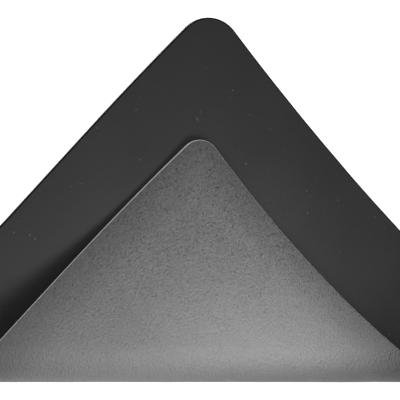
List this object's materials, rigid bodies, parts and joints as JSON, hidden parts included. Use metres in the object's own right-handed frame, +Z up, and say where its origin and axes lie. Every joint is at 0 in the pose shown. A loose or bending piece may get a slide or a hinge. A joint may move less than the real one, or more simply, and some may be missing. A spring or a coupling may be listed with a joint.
{
  "type": "self healing mat",
  "caption": "Soft cutting mat of three bonded plies with rounded corners, folded corner to corner; dark work face inside, grained grey back on the flap; unfolds to lie open.",
  "frame": {"origin": "bottom centre of the folded mat's bounding box", "axes": "+X along the fold, +Y from the fold towards the free corners, +Z up off the table"},
  "size_m": [0.4176, 0.2399, 0.0324],
  "materials": {
    "dark_face": "matte",
    "core": "matte",
    "grey_face": "fine grain"
  },
  "bodies": {
    "base": {"corner_dark_face_ply": "dark_face", "corner_core_ply": "core", "corner_grey_face_ply": "grey_face", "base_dark_face_ply": "dark_face", "base_core_ply": "core", "base_grey_face_ply": "grey_face"},
    "bend_1": {"bend_1_dark_face_ply": "dark_face", "bend_1_core_ply": "core", "bend_1_grey_face_ply": "grey_face"},
    "bend_2": {"bend_2_dark_face_ply": "dark_face", "bend_2_core_ply": "core", "bend_2_grey_face_ply": "grey_face"},
    "bend_3": {"bend_3_dark_face_ply": "dark_face", "bend_3_core_ply": "core", "bend_3_grey_face_ply": "grey_face"},
    "bend_4": {"bend_4_dark_face_ply": "dark_face", "bend_4_core_ply": "core", "bend_4_grey_face_ply": "grey_face"},
    "bend_5": {"bend_5_dark_face_ply": "dark_face", "bend_5_core_ply": "core", "bend_5_grey_face_ply": "grey_face"},
    "bend_6": {"bend_6_dark_face_ply": "dark_face", "bend_6_core_ply": "core", "bend_6_grey_face_ply": "grey_face"},
    "bend_7": {"bend_7_dark_face_ply": "dark_face", "bend_7_core_ply": "core", "bend_7_grey_face_ply": "grey_face"},
    "bend_8": {"bend_8_dark_face_ply": "dark_face", "bend_8_core_ply": "core", "bend_8_grey_face_ply": "grey_face"},
    "flap": {"flap_dark_face_ply": "dark_face", "flap_core_ply": "core", "flap_grey_face_ply": "grey_face"}
  },
  "joints": [
    {"name": "fold_1", "type": "hinge", "parent": "base", "child": "bend_1", "pos_m": [0, -0.10377, 0.0012], "axis": [1, 0, 0], "range_deg": [0, 12]},
    {"name": "fold_2", "type": "hinge", "parent": "bend_1", "child": "bend_2", "pos_m": [0, -0.11031, 0.0027], "axis": [1, 0, 0], "range_deg": [0, 24]},
    {"name": "fold_3", "type": "hinge", "parent": "bend_2", "child": "bend_3", "pos_m": [0, -0.11554, 0.00689], "axis": [1, 0, 0], "range_deg": [0, 24]},
    {"name": "fold_4", "type": "hinge", "parent": "bend_3", "child": "bend_4", "pos_m": [0, -0.11842, 0.01295], "axis": [1, 0, 0], "range_deg": [0, 24]},
    {"name": "fold_5", "type": "hinge", "parent": "bend_4", "child": "bend_5", "pos_m": [0, -0.11837, 0.01965], "axis": [1, 0, 0], "range_deg": [0, 24]},
    {"name": "fold_6", "type": "hinge", "parent": "bend_5", "child": "bend_6", "pos_m": [0, -0.11541, 0.02567], "axis": [1, 0, 0], "range_deg": [0, 24]},
    {"name": "fold_7", "type": "hinge", "parent": "bend_6", "child": "bend_7", "pos_m": [0, -0.11012, 0.02979], "axis": [1, 0, 0], "range_deg": [0, 24]},
    {"name": "fold_8", "type": "hinge", "parent": "bend_7", "child": "bend_8", "pos_m": [0, -0.10357, 0.0312], "axis": [1, 0, 0], "range_deg": [0, 24]},
    {"name": "fold_9", "type": "hinge", "parent": "bend_8", "child": "flap", "pos_m": [0, -0.09706, 0.02961], "axis": [1, 0, 0], "range_deg": [0, 12]}
  ],
  "couplings": [
    {"joint": "fold_2", "follows": "fold_1", "ratio": 2},
    {"joint": "fold_3", "follows": "fold_1", "ratio": 2},
    {"joint": "fold_4", "follows": "fold_1", "ratio": 2},
    {"joint": "fold_5", "follows": "fold_1", "ratio": 2},
    {"joint": "fold_6", "follows": "fold_1", "ratio": 2},
    {"joint": "fold_7", "follows": "fold_1", "ratio": 2},
    {"joint": "fold_8", "follows": "fold_1", "ratio": 2},
    {"joint": "fold_9", "follows": "fold_1", "ratio": 1}
  ]
}
